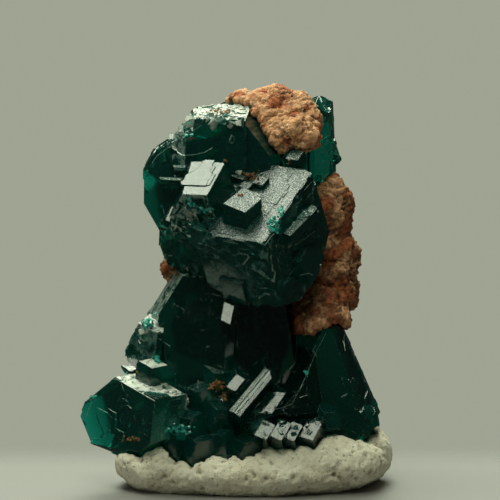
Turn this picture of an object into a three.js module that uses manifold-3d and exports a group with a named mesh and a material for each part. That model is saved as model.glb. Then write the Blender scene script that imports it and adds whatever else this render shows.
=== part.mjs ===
// A dioptase specimen standing in a pat of putty: two clusters of green crystals and one group of
// crystals behind them, grown on a lump of rusty rock. Millimetres, +Z up, the viewer's side is
// -Y, and the origin is under the middle of the specimen, on the surface that the putty lies on.
import * as THREE from "three";
import { ImprovedNoise } from "three/addons/math/ImprovedNoise.js";
import { mergeVertices } from "three/addons/utils/BufferGeometryUtils.js";
import Module from "manifold-3d";

const wasm = await Module();
wasm.setup();

// Dioptase ends in three faces that slope 51 degrees down from the tip of its long axis
const TIP_SLOPE = THREE.MathUtils.degToRad(51);
const PIECE_GAP = 0.3; // between two pieces that touch
const SLIVER = 0.01; // details finer than this are taken out of the crystals and the putty
const ROCK_GRAIN = 0.05; // and finer than this of the rock
const ROUGH_SIZE = 70; // side of the rough block that each crystal is cut from
const ROUGH_MIDDLE = 16; // height of that block's middle
const JOIN = 1e-4; // points nearer than this are one
const SHUFFLE_STEP = 16807; // multiplies each of the steady values to give the next
const SHUFFLE_WRAP = 2 ** 31 - 1; // and this is where they wrap round

// A crystal: tip is its pointed end and lean is [turn, rise] of its long axis in degrees, turned
// from the viewer to the right and raised above level. spin turns its end faces about that axis.
// girth is how far each of its six side faces stands from the axis, and cuts are further side
// faces, each [angle about the axis, distance].
const FRONT_CRYSTAL = {
  tip: [1.0, -9.0, 20.66],
  lean: [8, 8],
  spin: 110,
  girth: [4.4, 4.5, 4.6, 5.75, 6.27, 6.4],
  cuts: [
    [240, 4.55],
    [285, 5.3],
    [345, 5.95],
    [45, 7.1],
  ],
  length: 12,
};
const BRIGHT_CRYSTAL = {
  tip: [-3.4, -7.0, 24.18],
  lean: [8, 8],
  spin: 116,
  girth: [3.2, 3.2, 2.9, 2.2, 2.6, 2.7],
  cuts: [[157, 1.75]],
  length: 8,
};
const CHIN_CRYSTAL = {
  tip: [-3.0, -5.4, 19.83],
  lean: [0, 4],
  spin: 87,
  girth: [3.6, 4.2, 3.3, 2.9, 2.0, 2.5],
  cuts: [
    [205, 3.9],
    [262, 2.75],
  ],
  length: 9,
};
const FOOT_CRYSTAL = {
  tip: [-7.6, -8.0, 7.84],
  lean: [-3, 24],
  spin: 83,
  girth: [3.7, 6.8, 4.6, 2.6, 2.3, 2.2],
  cuts: [
    [152, 5.9],
    [248, 3.65],
  ],
  length: 7,
};
const STREAK_CRYSTAL = {
  tip: [-0.8, -7.6, 6.49],
  lean: [8, -16],
  spin: 99,
  girth: [0.75, 0.9, 1.6, 2.2, 3.1, 3.5],
  length: 7,
};

// A crystal that stands parallel to a larger one, without its further cuts
const like = (host, own) => ({ ...host, cuts: [], ...own });

const HEAD_CRYSTALS = [
  FRONT_CRYSTAL,
  BRIGHT_CRYSTAL,
  CHIN_CRYSTAL,
  // plates on the front crystal's upper face
  like(FRONT_CRYSTAL, {
    tip: [-0.4, -8.0, 22.94],
    spin: 95,
    girth: [1.5, 1.5, 1.5, 1.6, 1.6, 1.9],
    length: 5,
  }),
  like(FRONT_CRYSTAL, { tip: [-0.2, -4.2, 24.3], spin: 98, girth: 0.6, length: 2 }),
  like(FRONT_CRYSTAL, { tip: [1.0, -4.1, 24.6], spin: 104, girth: 0.7, length: 2 }),
  like(FRONT_CRYSTAL, { tip: [-0.6, -3.2, 24.9], spin: 96, girth: 0.8, length: 2 }),
  like(FRONT_CRYSTAL, { tip: [3.8, -2.6, 26.4], girth: [0.8, 0.8, 0.8, 0.8, 0.9, 0.8], length: 3 }),
  // ledges on its right and lower sides
  like(FRONT_CRYSTAL, {
    tip: [3.2, -7.2, 20.97],
    spin: 100,
    girth: [0.5, 0.6, 1.0, 1.5, 2.8, 3.0],
    cuts: [[304, 0.5]],
    length: 6,
  }),
  like(FRONT_CRYSTAL, {
    tip: [4.0, -5.6, 18.6],
    spin: 120,
    girth: [0.8, 1.0, 1.7, 1.9, 2.3, 1.2],
    length: 5,
  }),
  like(FRONT_CRYSTAL, {
    tip: [2.7, -6.5, 16.9],
    spin: 100,
    girth: [1.2, 1.6, 1.0, 1.1, 1.5, 0.8],
    length: 5,
  }),
  like(FRONT_CRYSTAL, { tip: [-0.6, -6.3, 17.0], spin: 104, girth: 1.5, length: 5 }),
  // blades on the left of the bright one
  like(BRIGHT_CRYSTAL, {
    tip: [-5.2, -3.4, 25.9],
    girth: [0.8, 0.7, 0.2, 0.5, 0.4, 0.2],
    length: 4,
  }),
  like(BRIGHT_CRYSTAL, {
    tip: [-5.5, -4.2, 25.0],
    girth: [1.7, 1.3, 0.25, 0.6, 0.5, 0.2],
    length: 4,
  }),
  // the far side of the cluster
  {
    tip: [-7.6, 4.8, 22.4],
    lean: [-128, 6],
    spin: 75,
    girth: [2.4, 2.7, 2.2, 2.0, 2.6, 2.4],
    length: 7,
  },
  {
    tip: [-4.6, 6.4, 26.2],
    lean: [-165, 14],
    spin: 96,
    girth: [2.2, 2.0, 2.4, 2.0, 2.3, 2.0],
    length: 6,
  },
];

// Blocks with a form of their own: every face is [turn, rise, distance from the centre]
const HEAD_BLOCKS = [
  {
    centre: [-2.6, 1.5, 24],
    faces: [
      [6, 2, 4.0],
      [-50, 4, 4.85],
      [-95, 0, 5.85],
      [-150, 0, 4.6],
      [186, 0, 2.2],
      [68, 0, 5.2],
      [90, 58, 6.1],
      [-90, 57, 5.05],
      [-90, 34, 5.65],
      [0, 83, 6.0],
      [68, 35, 5.8],
      [-90, -33, 5.8],
      [0, -90, 6],
    ],
  },
  // the frosted knob on its top
  {
    centre: [-2.5, 0.5, 28],
    faces: [
      [0, 83, 1.95],
      [-85, 12, 2.4],
      [-85, 50, 2.85],
      [-8, 3, 2.8],
      [85, 0, 2.4],
      [175, 5, 2.3],
      [-140, 20, 2.6],
      [0, -90, 3],
    ],
  },
];

const REAR_BLOCKS = [
  {
    centre: [5.4, 4.6, 27.5],
    faces: [
      [80, 3, 1.25],
      [20, 0, 1.6],
      [-40, 0, 1.5],
      [-100, 0, 1.5],
      [140, 0, 1.6],
      [200, 0, 1.8],
      [60, 50, 2.5],
      [-70, 62, 2.75],
      [180, 50, 2.6],
      [0, -90, 3],
    ],
  },
  {
    centre: [5.9, 4.8, 25.6],
    faces: [
      [85, 20, 1.25],
      [85, -42, 1.1],
      [30, -4, 1.5],
      [-35, 0, 1.5],
      [-95, 0, 1.6],
      [145, 0, 1.6],
      [205, 0, 1.7],
      [40, 55, 2.2],
      [-80, 50, 2.2],
      [0, -90, 3],
    ],
  },
];

const LOWER_CRYSTALS = [
  FOOT_CRYSTAL,
  like(FOOT_CRYSTAL, {
    tip: [-7.8, -5.8, 10.11],
    girth: [1.2, 1.4, 1.6, 1.6, 1.8, 1.1],
    length: 4,
  }),
  like(FOOT_CRYSTAL, {
    tip: [-7.4, -4.5, 12.7],
    girth: [2.7, 2.6, 2.2, 2.4, 0.4, 1.5],
    cuts: [[148, 2.0]],
    length: 6,
  }),
  // the streaked crystal in the middle and those around it
  STREAK_CRYSTAL,
  like(STREAK_CRYSTAL, {
    tip: [-1.2, -6.2, 8.3],
    girth: [0.6, 0.6, 1.2, 1.5, 1.3, 1.0],
    length: 5,
  }),
  // the row of slanted plates at its foot
  like(STREAK_CRYSTAL, {
    tip: [1.3, -7.8, 4.65],
    lean: [12, -16],
    spin: 106,
    girth: [0.8, 0.8, 1.3, 1.0, 1.0, 1.1],
    length: 5,
  }),
  like(STREAK_CRYSTAL, {
    tip: [2.5, -7.8, 4.6],
    lean: [12, -16],
    spin: 106,
    girth: [0.75, 0.75, 1.2, 1.0, 1.15, 1.15],
    length: 5,
  }),
  like(STREAK_CRYSTAL, {
    tip: [3.5, -7.6, 4.5],
    lean: [14, -16],
    spin: 108,
    girth: [0.7, 0.7, 1.2, 1.0, 1.1, 1.15],
    length: 5,
  }),
  like(STREAK_CRYSTAL, {
    tip: [5.0, -7.2, 4.5],
    lean: [14, -14],
    spin: 110,
    girth: [0.9, 0.9, 1.2, 1.4, 1.6, 1.2],
    length: 5,
  }),
  like(STREAK_CRYSTAL, {
    tip: [6.2, -5.6, 5.2],
    spin: 40,
    girth: [1.0, 1.2, 1.5, 1.4, 1.1, 1.2],
    length: 6,
  }),
  like(FOOT_CRYSTAL, {
    tip: [-4.0, -6.2, 8.23],
    spin: 96,
    girth: [1.2, 1.0, 1.6, 1.6, 1.2, 1.4],
    length: 5,
  }),
  like(FOOT_CRYSTAL, { tip: [-2.8, -5.4, 9.6], spin: 74, girth: 1.2, length: 4 }),
  like(FOOT_CRYSTAL, {
    tip: [-4.8, -6.9, 6.2],
    spin: 100,
    girth: [1.4, 1.2, 1.6, 1.6, 1.6, 1.4],
    length: 5,
  }),
  like(FOOT_CRYSTAL, { tip: [-2.6, -6.7, 6.9], spin: 70, girth: 1.4, length: 5 }),
  like(FOOT_CRYSTAL, {
    tip: [-5.9, -7.0, 4.9],
    spin: 92,
    girth: [1.0, 1.0, 1.4, 1.4, 0.9, 0.9],
    length: 5,
  }),
  like(FOOT_CRYSTAL, {
    tip: [-4.3, -7.3, 4.4],
    spin: 78,
    girth: [1.6, 1.4, 1.4, 1.4, 1.5, 1.7],
    length: 5,
  }),
  like(FOOT_CRYSTAL, {
    tip: [-2.2, -7.2, 4.9],
    spin: 104,
    girth: [0.9, 1.0, 1.4, 1.4, 1.0, 0.8],
    length: 5,
  }),
  like(FOOT_CRYSTAL, {
    tip: [-0.5, -7.3, 4.3],
    spin: 88,
    girth: [1.2, 1.5, 1.4, 1.4, 1.2, 1.0],
    length: 5,
  }),
  // the far side of the cluster
  {
    tip: [-7.4, 4.2, 8.6],
    lean: [-125, 4],
    spin: 70,
    girth: [2.6, 3.0, 2.6, 2.4, 2.6, 2.8],
    length: 8,
  },
  {
    tip: [-1.2, 6.2, 7.0],
    lean: [172, 8],
    spin: 84,
    girth: [3.0, 2.6, 2.8, 3.2, 2.8, 2.6],
    length: 7,
  },
  {
    tip: [4.6, 5.4, 8.2],
    lean: [150, 14],
    spin: 102,
    girth: [2.6, 2.8, 2.4, 2.6, 2.2, 3.0],
    length: 7,
  },
  {
    tip: [-4.8, 4.6, 12.4],
    lean: [-150, 20],
    spin: 96,
    girth: [1.8, 2.0, 2.2, 2.0, 1.8, 2.0],
    length: 6,
  },
];

const LOWER_BLOCKS = [
  // the tall dark crystals under the head
  {
    centre: [-3.6, 0, 12],
    faces: [
      [-12, 4, 4.0],
      [-86, 31, 4.4],
      [-80, -8, 3.9],
      [48, 0, 4.2],
      [176, 0, 2.6],
      [0, 90, 5.2],
      [0, -90, 9],
    ],
  },
  {
    centre: [1.5, 0, 11],
    faces: [
      [14, 5, 3.0],
      [-60, 0, 4],
      [80, 10, 2.3],
      [180, 0, 4],
      [0, 80, 5.5],
      [0, -90, 8],
    ],
  },
  // the large crystal on the right
  {
    centre: [6.0, 1.0, 7],
    faces: [
      [4, 12, 4.19],
      [-52, 28, 4.47],
      [58, 22, 4.02],
      [90, 23, 3.4],
      [80, -35, 4.4],
      [180, 10, 3],
      [-120, 10, 4],
      [0, 80, 6.2],
      [0, -90, 4.2],
    ],
  },
  // the narrow lit face below the head
  {
    centre: [-1.8, -5.0, 14.5],
    faces: [
      [-15.5, 13, 0.42],
      [90, -12, 0.42],
      [-90, 12, 0.42],
      [90, 67, 0.72],
      [-90, -67, 0.72],
      [165, -13, 3],
    ],
  },
  // the dark one between the streaked and the large crystals
  {
    centre: [3.4, -4.2, 7.2],
    faces: [
      [4, 16, 2.5],
      [-60, 45, 1.3],
      [72, 12, 1.9],
      [0, 75, 3.2],
      [5, -50, 2.2],
      [180, 0, 4],
      [-80, -30, 2.5],
    ],
  },
  // the rounded one at the bottom right
  {
    centre: [8.3, -1.0, 5.2],
    faces: [
      [40, 0, 2.1],
      [-20, 5, 2.0],
      [95, 10, 1.95],
      [60, 50, 2.0],
      [-10, 60, 1.9],
      [70, -45, 1.8],
      [10, -50, 2.1],
      [150, 0, 2.2],
      [-100, 0, 2.5],
      [180, 50, 2.4],
      [180, -50, 2.4],
    ],
  },
  // the body that the small crystals stand on
  {
    centre: [-1, -2.5, 5.5],
    faces: [
      [-10, -12, 3.0],
      [-70, -30, 4.6],
      [60, -15, 4.6],
      [-10, 40, 3.2],
      [180, 0, 4],
      [0, 80, 3],
      [0, -90, 2.9],
    ],
  },
];

// Lumps of the rock: [centre, half sizes]
const ROCK_LUMPS = [
  [[2.0, 2.8, 28.6], [3.6, 4.0, 2.8]],
  [[-0.3, 3.4, 29.5], [2.1, 2.1, 1.4]],
  [[3.5, 0.2, 27.9], [2.1, 2.0, 1.6]],
  [[1.6, 5.0, 26.4], [3.8, 2.9, 3.8]],
  [[-0.9, 5.2, 23.8], [4.6, 2.9, 4.4]],
  [[2.8, 5.6, 20.6], [4.8, 3.1, 4.6]],
  [[-0.8, 5.4, 17.6], [5.0, 2.8, 4.0]],
  [[2.4, 5.2, 13.6], [4.6, 3.1, 3.8]],
  [[-1.2, 4.8, 11.4], [4.0, 2.9, 3.3]],
  [[6.5, 4.0, 21.8], [1.8, 2.3, 2.7]],
  [[6.5, 4.0, 18.0], [2.3, 2.7, 2.6]],
  [[6.4, 3.4, 15.0], [2.4, 3.1, 3.2]],
  [[5.3, 0.9, 13.4], [2.5, 3.2, 2.4]],
  [[-4.9, 4.0, 16.6], [2.3, 2.3, 1.6]],
];

// Lumps of the putty, cut off level at the surface it lies on
const PUTTY_LUMPS = [
  [[0.3, -1.0, 1.6], [10.7, 7.3, 2.6]],
  [[-6.8, -3.5, 2.2], [3.8, 3.4, 2.5]],
  [[4.5, -4.2, 2.2], [6.3, 3.2, 2.35]],
  [[8.4, 0.5, 2.3], [2.9, 3.5, 2.4]],
];

// rough and grain are the height and the size of the bumps, and breaks is how many flat faces
// a lump is broken off at
const ROCK_SKIN = { rough: 0.5, grain: 1.5, breaks: 16, detail: 4 };
const PUTTY_SKIN = { rough: 0.25, grain: 2.5, breaks: 0, detail: 5 };
const NEAR_BREAK = 0.7;
const FAR_BREAK = 0.98;

const noise = new ImprovedNoise();

// Unit vector that points turn degrees right of the viewer and rise degrees above level
function aim(turn, rise) {
  const t = THREE.MathUtils.degToRad(turn);
  const r = THREE.MathUtils.degToRad(rise);
  return new THREE.Vector3(Math.sin(t) * Math.cos(r), -Math.cos(t) * Math.cos(r), Math.sin(r));
}

// A closed three.js geometry as a solid that can be joined and cut
function solidOf(geometry) {
  const bare = new THREE.BufferGeometry()
    .setAttribute("position", geometry.getAttribute("position"))
    .setIndex(geometry.index);
  const merged = mergeVertices(bare, JOIN);
  return new wasm.Manifold(
    new wasm.Mesh({
      numProp: 3,
      vertProperties: new Float32Array(merged.getAttribute("position").array),
      triVerts: new Uint32Array(merged.index.array),
    }),
  );
}

const ROUGH_BLOCK = solidOf(
  new THREE.BoxGeometry(ROUGH_SIZE, ROUGH_SIZE, ROUGH_SIZE).translate(0, 0, ROUGH_MIDDLE),
);

const faceAt = (normal, point) => new THREE.Plane().setFromNormalAndCoplanarPoint(normal, point);

// The flat faces of a crystal: three at its tip, its sides, and the end where it's grown fast
function crystalFaces({ tip, lean, spin, girth, cuts = [], length }) {
  const axis = aim(...lean);
  const up = new THREE.Vector3(0, 0, 1).addScaledVector(axis, -axis.z).normalize();
  const right = up.clone().cross(axis);
  const around = (degrees) => {
    const a = THREE.MathUtils.degToRad(degrees);
    return right.clone().multiplyScalar(Math.cos(a)).addScaledVector(up, Math.sin(a));
  };
  const point = new THREE.Vector3(...tip);
  const reaches = Array.isArray(girth) ? girth : Array(6).fill(girth);
  const sides = reaches.map((reach, k) => [spin + 30 + 60 * k, reach]).concat(cuts);
  return [
    ...[0, 120, 240].map((turn) => {
      const normal = around(spin + turn).multiplyScalar(Math.sin(TIP_SLOPE));
      return faceAt(normal.addScaledVector(axis, Math.cos(TIP_SLOPE)), point);
    }),
    ...sides.map(([angle, reach]) => {
      const normal = around(angle);
      return faceAt(normal, point.clone().addScaledVector(normal, reach));
    }),
    faceAt(axis.clone().negate(), point.clone().addScaledVector(axis, -length)),
  ];
}

function blockFaces({ centre, faces }) {
  return faces.map(([turn, rise, distance]) => {
    const normal = aim(turn, rise);
    return faceAt(normal, new THREE.Vector3(...centre).addScaledVector(normal, distance));
  });
}

// What is left of the rough block inside all the faces, each moved out by grow
function cutOut(faces, grow) {
  return faces.reduce((solid, { normal, constant }) => {
    const inward = normal.clone().negate().toArray();
    return solid.trimByPlane(inward, constant - grow);
  }, ROUGH_BLOCK);
}

// Crystals and blocks grown together
function cluster(crystals, blocks, grow = 0) {
  const faces = [...crystals.map(crystalFaces), ...blocks.map(blockFaces)];
  return wasm.Manifold.union(faces.map((f) => cutOut(f, grow))).simplify(SLIVER);
}

// The same run of values between 0 and 1 every time, from a seed
function* steadyValues(seed) {
  for (let state = seed; ; ) {
    state = (state * SHUFFLE_STEP) % SHUFFLE_WRAP;
    yield state / SHUFFLE_WRAP;
  }
}

// Faces that a lump of unit size is broken off at: directions, and distances from its middle
function brokenFaces(count, seed) {
  const values = steadyValues(seed);
  const next = () => values.next().value;
  return Array.from({ length: count }, () => {
    const direction = aim(360 * next(), THREE.MathUtils.radToDeg(Math.asin(2 * next() - 1)));
    return { direction, distance: THREE.MathUtils.lerp(NEAR_BREAK, FAR_BREAK, next()) };
  });
}

// A lump: broken faces, and over them bumps of the height rough and the size grain
function lump([centre, halves], { rough, grain, breaks, detail }, seed) {
  const geometry = new THREE.IcosahedronGeometry(1, detail);
  const place = geometry.getAttribute("position");
  const faces = brokenFaces(breaks, seed);
  const out = new THREE.Vector3();
  for (let i = 0; i < place.count; i++) {
    out.fromBufferAttribute(place, i);
    const reach = faces.reduce((least, { direction, distance }) => {
      const facing = out.dot(direction);
      return facing > 0 ? Math.min(least, distance / facing) : least;
    }, 1);
    const p = out.clone().multiplyScalar(reach);
    p.multiply(new THREE.Vector3(...halves)).add(new THREE.Vector3(...centre));
    const [x, y, z] = p.toArray().map((v) => v / grain);
    const bump = noise.noise(x, y, z) + 0.5 * noise.noise(2 * x, 2 * y, 2 * z);
    p.addScaledVector(out, rough * bump);
    place.setXYZ(i, p.x, p.y, p.z);
  }
  return solidOf(geometry);
}

// The largest body of a solid, without the crumbs that cutting leaves
function largest(solid) {
  return solid.decompose().sort((a, b) => b.volume() - a.volume())[0];
}

function meshOf(name, solid, colour, roughness) {
  const { vertProperties, triVerts } = largest(solid).getMesh();
  const geometry = new THREE.BufferGeometry()
    .setAttribute("position", new THREE.BufferAttribute(vertProperties, 3))
    .setIndex(new THREE.BufferAttribute(triVerts, 1));
  const material = new THREE.MeshStandardMaterial({
    color: colour,
    roughness,
    metalness: 0,
    flatShading: true,
  });
  const mesh = new THREE.Mesh(geometry, material);
  mesh.name = name;
  return mesh;
}

const upperRoom = cluster(HEAD_CRYSTALS, HEAD_BLOCKS, PIECE_GAP);
const lowerRoom = cluster(LOWER_CRYSTALS, LOWER_BLOCKS, PIECE_GAP);
const rearRoom = cluster([], REAR_BLOCKS, PIECE_GAP);
const upper = cluster(HEAD_CRYSTALS, HEAD_BLOCKS);
const lower = cluster(LOWER_CRYSTALS, LOWER_BLOCKS).subtract(upperRoom);
const rear = cluster([], REAR_BLOCKS).subtract(upperRoom);
const rock = wasm.Manifold.union(ROCK_LUMPS.map((l, k) => lump(l, ROCK_SKIN, k + 1)))
  .subtract(upperRoom)
  .subtract(lowerRoom)
  .subtract(rearRoom)
  .simplify(ROCK_GRAIN);
const putty = wasm.Manifold.union(PUTTY_LUMPS.map((l, k) => lump(l, PUTTY_SKIN, k + 1)))
  .subtract(lowerRoom)
  .trimByPlane([0, 0, 1], 0)
  .simplify(SLIVER);

const specimen = new THREE.Group();
specimen.add(
  meshOf("upper_crystals", upper, 0x0b5a48, 0.15),
  meshOf("rear_crystals", rear, 0x0a7560, 0.2),
  meshOf("lower_crystals", lower, 0x0b4f40, 0.15),
  meshOf("rock", rock, 0xb0643c, 0.95),
  meshOf("putty", putty, 0xcfc9b0, 0.85),
);

// The origin goes under the middle of the specimen
const box = new THREE.Box3().setFromObject(specimen);
const middle = box.getCenter(new THREE.Vector3());
for (const mesh of specimen.children) {
  mesh.geometry.translate(-middle.x, -middle.y, -box.min.z);
}

export default specimen;
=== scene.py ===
"""A dioptase specimen stood in a pat of putty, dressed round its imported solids.

Two clusters of green crystals grow on a lump of rusty rock. Sizes in the tables are millimetres,
+Z is up and the viewer's side is -Y.
"""
import itertools
import math

import bpy
import numpy as np
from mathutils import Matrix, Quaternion, Vector, noise
from mathutils.bvhtree import BVHTree


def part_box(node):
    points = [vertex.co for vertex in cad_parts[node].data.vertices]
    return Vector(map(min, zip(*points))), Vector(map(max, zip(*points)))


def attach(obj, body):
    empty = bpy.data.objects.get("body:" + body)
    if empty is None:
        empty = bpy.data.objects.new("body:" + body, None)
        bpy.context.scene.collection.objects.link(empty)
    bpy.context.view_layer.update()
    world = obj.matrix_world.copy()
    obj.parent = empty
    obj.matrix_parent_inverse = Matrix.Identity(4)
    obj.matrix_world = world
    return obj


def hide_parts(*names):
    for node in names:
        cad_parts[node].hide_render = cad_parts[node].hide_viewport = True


bl_info = {
    "name": "Dioptase specimen",
    "version": (1, 0, 0),
    "blender": (4, 5, 0),
    "location": "3D View > Sidebar > Specimen",
    "description": "Crystals, rock and putty of a dioptase specimen, and the table it stands on",
    "category": "Add Mesh",
}

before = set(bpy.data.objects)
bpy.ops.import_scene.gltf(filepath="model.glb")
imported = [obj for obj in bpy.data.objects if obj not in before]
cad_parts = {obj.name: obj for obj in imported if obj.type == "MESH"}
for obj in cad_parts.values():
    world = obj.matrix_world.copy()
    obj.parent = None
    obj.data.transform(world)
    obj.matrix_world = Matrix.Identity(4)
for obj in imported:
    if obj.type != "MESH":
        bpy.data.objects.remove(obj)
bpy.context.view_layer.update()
MM = 0.001

# The crystals
# tip is a crystal's pointed end and lean is (turn, rise) of its long axis in degrees, turned from
# the viewer to the right and raised above level. spin turns its end faces about that axis. girth
# is how far each of its six side faces stands from the axis, and cuts are further side faces, each
# (angle about the axis, distance). etched is how rough each of the three end faces is, plain
# where it isn't given.
TIP_SLOPE = math.radians(51)
PLAIN_ENDS = (0.2, 0.2, 0.2)
SIDE_ETCHING = 0.05
BLOCK_ETCHING = 0.1
FRONT_CRYSTAL = {
    "tip": (1.0, -9.0, 20.66),
    "lean": (8, 8),
    "spin": 110,
    "girth": (4.4, 4.5, 4.6, 5.75, 6.27, 6.4),
    "cuts": (
        (240, 4.55),
        (285, 5.3),
        (345, 5.95),
        (45, 7.1),
    ),
    "length": 12,
    "etched": (1.0, 0.1, 0.25),
}
BRIGHT_CRYSTAL = {
    "tip": (-3.4, -7.0, 24.18),
    "lean": (8, 8),
    "spin": 116,
    "girth": (3.2, 3.2, 2.9, 2.2, 2.6, 2.7),
    "cuts": ((157, 1.75),),
    "length": 8,
    "etched": (0.35, 0.1, 0.1),
}
CHIN_CRYSTAL = {
    "tip": (-3.0, -5.4, 19.83),
    "lean": (0, 4),
    "spin": 87,
    "girth": (3.6, 4.2, 3.3, 2.9, 2.0, 2.5),
    "cuts": (
        (205, 3.9),
        (262, 2.75),
    ),
    "length": 9,
    "etched": (0.3, 0.2, 0.2),
}
FOOT_CRYSTAL = {
    "tip": (-7.6, -8.0, 7.84),
    "lean": (-3, 24),
    "spin": 83,
    "girth": (3.7, 6.8, 4.6, 2.6, 2.3, 2.2),
    "cuts": (
        (152, 5.9),
        (248, 3.65),
    ),
    "length": 7,
    "etched": (0.6, 0.15, 0.15),
}
STREAK_CRYSTAL = {
    "tip": (-0.8, -7.6, 6.49),
    "lean": (8, -16),
    "spin": 99,
    "girth": (0.75, 0.9, 1.6, 2.2, 3.1, 3.5),
    "length": 7,
    "etched": (0.25, 0.1, 0.1),
}


def like(host, own):
    """A crystal that stands parallel to a larger one, without its further cuts."""
    return {**host, "cuts": (), **own}


RIGHT_LEDGE = like(FRONT_CRYSTAL, {
    "tip": (3.2, -7.2, 20.97),
    "spin": 100,
    "girth": (0.5, 0.6, 1.0, 1.5, 2.8, 3.0),
    "cuts": ((304, 0.5),),
    "etched": (1.9, 0.2, 0.2),
    "length": 6,
})
HEAD_CRYSTALS = (
    FRONT_CRYSTAL,
    BRIGHT_CRYSTAL,
    CHIN_CRYSTAL,
    # plates on the front crystal's upper face
    like(FRONT_CRYSTAL, {
        "tip": (-0.4, -8.0, 22.94),
        "spin": 95,
        "girth": (1.5, 1.5, 1.5, 1.6, 1.6, 1.9),
        "length": 5,
    }),
    like(FRONT_CRYSTAL, {"tip": (-0.2, -4.2, 24.3), "spin": 98, "girth": 0.6, "length": 2}),
    like(FRONT_CRYSTAL, {"tip": (1.0, -4.1, 24.6), "spin": 104, "girth": 0.7, "length": 2}),
    like(FRONT_CRYSTAL, {"tip": (-0.6, -3.2, 24.9), "spin": 96, "girth": 0.8, "length": 2}),
    like(FRONT_CRYSTAL, {
        "tip": (3.8, -2.6, 26.4),
        "girth": (0.8, 0.8, 0.8, 0.8, 0.9, 0.8),
        "length": 3,
    }),
    # ledges on its right and lower sides
    RIGHT_LEDGE,
    like(FRONT_CRYSTAL, {
        "tip": (4.0, -5.6, 18.6),
        "spin": 120,
        "girth": (0.8, 1.0, 1.7, 1.9, 2.3, 1.2),
        "length": 5,
    }),
    like(FRONT_CRYSTAL, {
        "tip": (2.7, -6.5, 16.9),
        "spin": 100,
        "girth": (1.2, 1.6, 1.0, 1.1, 1.5, 0.8),
        "length": 5,
    }),
    like(FRONT_CRYSTAL, {"tip": (-0.6, -6.3, 17.0), "spin": 104, "girth": 1.5, "length": 5}),
    # blades on the left of the bright one
    like(BRIGHT_CRYSTAL, {
        "tip": (-5.2, -3.4, 25.9),
        "girth": (0.8, 0.7, 0.2, 0.5, 0.4, 0.2),
        "length": 4,
        "etched": (1.9, 0.1, 0.1),
    }),
    like(BRIGHT_CRYSTAL, {
        "tip": (-5.5, -4.2, 25.0),
        "girth": (1.7, 1.3, 0.25, 0.6, 0.5, 0.2),
        "length": 4,
        "etched": (1.9, 0.1, 0.1),
    }),
    # the far side of the cluster
    {
        "tip": (-7.6, 4.8, 22.4),
        "lean": (-128, 6),
        "spin": 75,
        "girth": (2.4, 2.7, 2.2, 2.0, 2.6, 2.4),
        "length": 7,
    },
    {
        "tip": (-4.6, 6.4, 26.2),
        "lean": (-165, 14),
        "spin": 96,
        "girth": (2.2, 2.0, 2.4, 2.0, 2.3, 2.0),
        "length": 6,
    },
)

# Blocks with a form of their own: every face is [turn, rise, distance from the centre]
BACK_CRYSTAL = {
    "centre": (-2.6, 1.5, 24),
    "faces": (
        (6, 2, 4.0),
        (-50, 4, 4.85),
        (-95, 0, 5.85),
        (-150, 0, 4.6),
        (186, 0, 2.2),
        (68, 0, 5.2),
        (90, 58, 6.1),
        (-90, 57, 5.05),
        (-90, 34, 5.65),
        (0, 83, 6.0),
        (68, 35, 5.8),
        (-90, -33, 5.8),
        (0, -90, 6),
    ),
}
# The frosted knob on its top
KNOB = {
    "centre": (-2.5, 0.5, 28),
    "faces": (
        (0, 83, 1.95),
        (-85, 12, 2.4),
        (-85, 50, 2.85),
        (-8, 3, 2.8),
        (85, 0, 2.4),
        (175, 5, 2.3),
        (-140, 20, 2.6),
        (0, -90, 3),
    ),
}
HEAD_BLOCKS = (BACK_CRYSTAL, KNOB)

# The two small crystals behind the rock, blocks as above
REAR_TOP = {
    "centre": (5.4, 4.6, 27.5),
    "faces": (
        (80, 3, 1.25),
        (20, 0, 1.6),
        (-40, 0, 1.5),
        (-100, 0, 1.5),
        (140, 0, 1.6),
        (200, 0, 1.8),
        (60, 50, 2.5),
        (-70, 62, 2.75),
        (180, 50, 2.6),
        (0, -90, 3),
    ),
}
REAR_SIDE = {
    "centre": (5.9, 4.8, 25.6),
    "faces": (
        (85, 20, 1.25),
        (85, -42, 1.1),
        (30, -4, 1.5),
        (-35, 0, 1.5),
        (-95, 0, 1.6),
        (145, 0, 1.6),
        (205, 0, 1.7),
        (40, 55, 2.2),
        (-80, 50, 2.2),
        (0, -90, 3),
    ),
}
REAR_BLOCKS = (REAR_TOP, REAR_SIDE)

# The ledge and the slope on the large clear crystal at the left
LEDGE_CRYSTAL = like(FOOT_CRYSTAL, {
    "tip": (-7.8, -5.8, 10.11),
    "girth": (1.2, 1.4, 1.6, 1.6, 1.8, 1.1),
    "length": 4,
})
SLOPE_CRYSTAL = like(FOOT_CRYSTAL, {
    "tip": (-7.4, -4.5, 12.7),
    "girth": (2.7, 2.6, 2.2, 2.4, 0.4, 1.5),
    "cuts": ((148, 2.0),),
    "length": 6,
})
# The row of slanted plates at the foot of the streaked crystal
SLANTED_PLATES = (
    like(STREAK_CRYSTAL, {
        "tip": (1.3, -7.8, 4.65),
        "lean": (12, -16),
        "spin": 106,
        "girth": (0.8, 0.8, 1.3, 1.0, 1.0, 1.1),
        "length": 5,
    }),
    like(STREAK_CRYSTAL, {
        "tip": (2.5, -7.8, 4.6),
        "lean": (12, -16),
        "spin": 106,
        "girth": (0.75, 0.75, 1.2, 1.0, 1.15, 1.15),
        "length": 5,
    }),
    like(STREAK_CRYSTAL, {
        "tip": (3.5, -7.6, 4.5),
        "lean": (14, -16),
        "spin": 108,
        "girth": (0.7, 0.7, 1.2, 1.0, 1.1, 1.15),
        "length": 5,
    }),
    like(STREAK_CRYSTAL, {
        "tip": (5.0, -7.2, 4.5),
        "lean": (14, -14),
        "spin": 110,
        "girth": (0.9, 0.9, 1.2, 1.4, 1.6, 1.2),
        "length": 5,
    }),
)
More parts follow.
